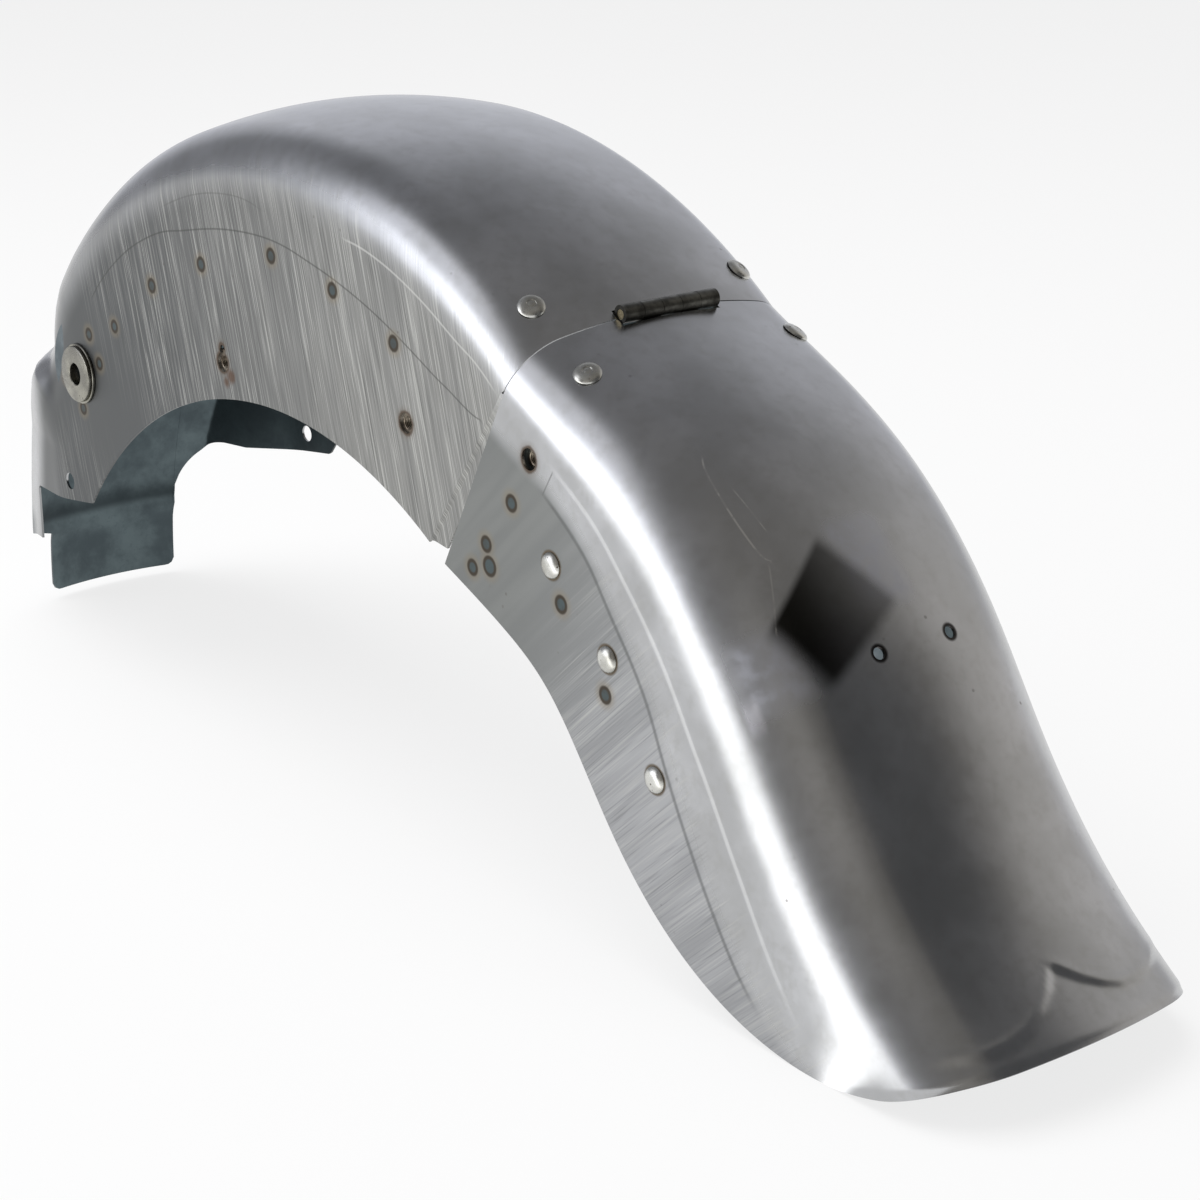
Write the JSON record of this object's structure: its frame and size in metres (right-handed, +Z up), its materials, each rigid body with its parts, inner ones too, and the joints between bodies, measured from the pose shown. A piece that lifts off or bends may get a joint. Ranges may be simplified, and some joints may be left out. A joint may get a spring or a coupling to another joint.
{
  "type": "motorcycle rear fender",
  "caption": "Deep-skirted rear fender of pressed sheet steel, with a duck-tail rear section that swings up on a hinge across the crown.",
  "frame": {"origin": "middle of the bounding box on the floor plane", "axes": "+X to the tail, +Y to the machine's right, +Z up"},
  "size_m": [1.0713, 0.2192, 0.4474],
  "materials": {
    "sheet_steel": "bare pressed sheet, sanded",
    "inner_steel": "bare, mill scale",
    "hinge_steel": "dark, oiled",
    "rivet_steel": "bright",
    "nut_steel": "bare with weld heat tint",
    "boss_steel": "turned",
    "pin_brass": "cut end"
  },
  "bodies": {
    "main": {"front_shell": "sheet_steel", "front_hinge_leaf": "hinge_steel", "hinge_pin": "pin_brass", "front_hinge_rivets": "rivet_steel", "boss_plate_left": "boss_steel", "boss_plate_right": "boss_steel", "boss_face_left": "boss_steel", "boss_face_right": "boss_steel", "boss_bush_left": "boss_steel", "boss_bush_right": "boss_steel", "side_stay_left": "inner_steel", "side_stay_right": "inner_steel", "front_weld_nuts": "nut_steel"},
    "tail": {"tail_shell": "sheet_steel", "rear_hinge_leaf": "hinge_steel", "rear_hinge_rivets": "rivet_steel", "tail_bracket_left": "inner_steel", "tail_bracket_right": "inner_steel", "tail_side_rivets": "rivet_steel", "tail_weld_nuts": "nut_steel"}
  },
  "joints": [
    {"name": "tail_hinge", "type": "hinge", "parent": "main", "child": "tail", "pos_m": [0.17445, 0, 0.36021], "axis": [0, -1, 0], "range_deg": [0, 110]}
  ]
}
